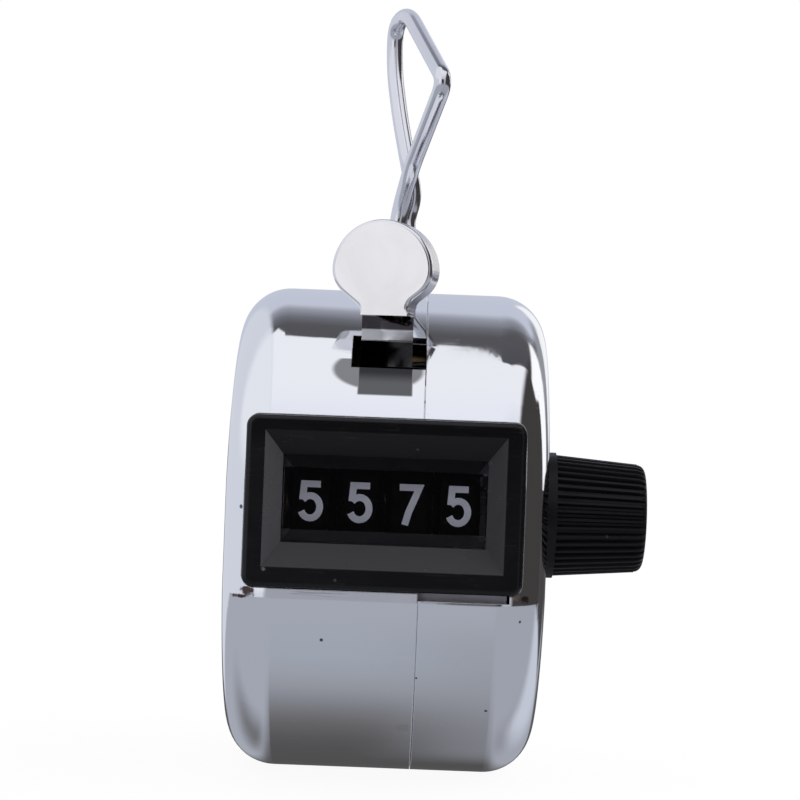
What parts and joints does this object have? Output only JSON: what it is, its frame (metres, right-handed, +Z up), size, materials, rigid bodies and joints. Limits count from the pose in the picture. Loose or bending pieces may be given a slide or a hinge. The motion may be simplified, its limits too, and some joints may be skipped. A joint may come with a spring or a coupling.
{
  "type": "hand tally counter",
  "caption": "Hand tally counter: a chromed drum case with a black window frame over number wheels, a thumb lever, a fluted reset knob and a wire finger ring.",
  "frame": {"origin": "centre of the drum's flat left face, on the drum's axis", "axes": "+X along the drum towards the reset knob, -Y towards the window side, +Z up through the finger ring"},
  "size_m": [0.0375, 0.0448, 0.0731],
  "materials": {
    "chrome": "bright chrome plate on drawn sheet, lightly worn at the window's lower corners",
    "frame_plastic": "moulded black, satin face with polished bevels",
    "clear_pane": "clear moulded pane with dust and fine scratches",
    "knob_plastic": "moulded black, fluted",
    "wheel_plastic": "moulded black with pale printed numerals",
    "pinion_plastic": "moulded ivory",
    "nickel": "nickel plate, bright with fine scratches",
    "ring_wire": "bright drawn wire",
    "shaft_steel": "ground",
    "plate_steel": "zinc plated sheet",
    "spring_steel": "hardened wire and strip",
    "brass": "turned"
  },
  "bodies": {
    "root": {"case_left": "chrome", "case_right": "chrome", "window_frame": "frame_plastic", "window_pane": "clear_pane", "window_rail": "plate_steel", "frame_plate_left": "plate_steel", "frame_plate_right": "plate_steel", "tie_rods": "shaft_steel", "spacer_tubes": "brass", "frame_bridge": "plate_steel", "shaft_washer": "brass", "knob_bush": "brass", "pinion_shaft": "shaft_steel", "lever_pin": "shaft_steel", "lever_spring": "spring_steel", "stop_spring": "spring_steel", "ring_saddle": "plate_steel"},
    "lever": {"thumb_lever": "nickel", "pawl_pin": "shaft_steel"},
    "pawl": {"drive_pawl": "plate_steel"},
    "reset": {"main_shaft": "shaft_steel", "shaft_clip": "spring_steel", "knob_insert": "brass", "reset_knob": "knob_plastic"},
    "units": {"wheel_units": "wheel_plastic", "ratchet_wheel": "plate_steel"},
    "tens": {"wheel_tens": "wheel_plastic"},
    "hundreds": {"wheel_hundreds": "wheel_plastic"},
    "thousands": {"wheel_thousands": "wheel_plastic"},
    "tens_pinion": {"pinion_tens": "pinion_plastic"},
    "hundreds_pinion": {"pinion_hundreds": "pinion_plastic"},
    "thousands_pinion": {"pinion_thousands": "pinion_plastic"},
    "ring": {"finger_ring": "ring_wire"}
  },
  "joints": [
    {"name": "lever_press", "type": "hinge", "parent": "root", "child": "lever", "pos_m": [0.01365, 0.004, 0.0005], "axis": [1, 0, 0], "range_deg": [0, 6.6], "stiffness_Nm_per_rad": 0.6, "springref_deg": -5.73, "deforming": ["lever_spring"]},
    {"name": "pawl_swing", "type": "hinge", "parent": "lever", "child": "pawl", "pos_m": [0.02267, -0.015, 0.009], "axis": [-1, 0, 0], "range_deg": [0, 10], "stiffness_Nm_per_rad": 0.002, "springref_deg": -11.46},
    {"name": "reset_turn", "type": "hinge", "parent": "root", "child": "reset", "pos_m": [0.014, -0.00985, 0.00235], "axis": [1, 0, 0], "continuous": true},
    {"name": "units_turn", "type": "hinge", "parent": "root", "child": "units", "pos_m": [0.014, -0.00985, 0.00235], "axis": [1, 0, 0], "continuous": true},
    {"name": "tens_turn", "type": "hinge", "parent": "root", "child": "tens", "pos_m": [0.014, -0.00985, 0.00235], "axis": [1, 0, 0], "continuous": true},
    {"name": "hundreds_turn", "type": "hinge", "parent": "root", "child": "hundreds", "pos_m": [0.014, -0.00985, 0.00235], "axis": [1, 0, 0], "continuous": true},
    {"name": "thousands_turn", "type": "hinge", "parent": "root", "child": "thousands", "pos_m": [0.014, -0.00985, 0.00235], "axis": [1, 0, 0], "continuous": true},
    {"name": "tens_pinion_turn", "type": "hinge", "parent": "root", "child": "tens_pinion", "pos_m": [0.014, -0.00451, -0.0062], "axis": [1, 0, 0], "continuous": true},
    {"name": "hundreds_pinion_turn", "type": "hinge", "parent": "root", "child": "hundreds_pinion", "pos_m": [0.014, -0.00451, -0.0062], "axis": [1, 0, 0], "continuous": true},
    {"name": "thousands_pinion_turn", "type": "hinge", "parent": "root", "child": "thousands_pinion", "pos_m": [0.014, -0.00451, -0.0062], "axis": [1, 0, 0], "continuous": true},
    {"name": "ring_swing", "type": "hinge", "parent": "root", "child": "ring", "pos_m": [0.0149, 0.003, 0.02001], "axis": [1, 0, 0], "range_deg": [-20, 20]}
  ],
  "couplings": [
    {"joint": "tens_turn", "follows": "units_turn", "ratio": 0.1},
    {"joint": "hundreds_turn", "follows": "units_turn", "ratio": 0.01},
    {"joint": "thousands_turn", "follows": "units_turn", "ratio": 0.001},
    {"joint": "tens_pinion_turn", "follows": "units_turn", "ratio": -0.25},
    {"joint": "hundreds_pinion_turn", "follows": "units_turn", "ratio": -0.025},
    {"joint": "thousands_pinion_turn", "follows": "units_turn", "ratio": -0.0025}
  ]
}
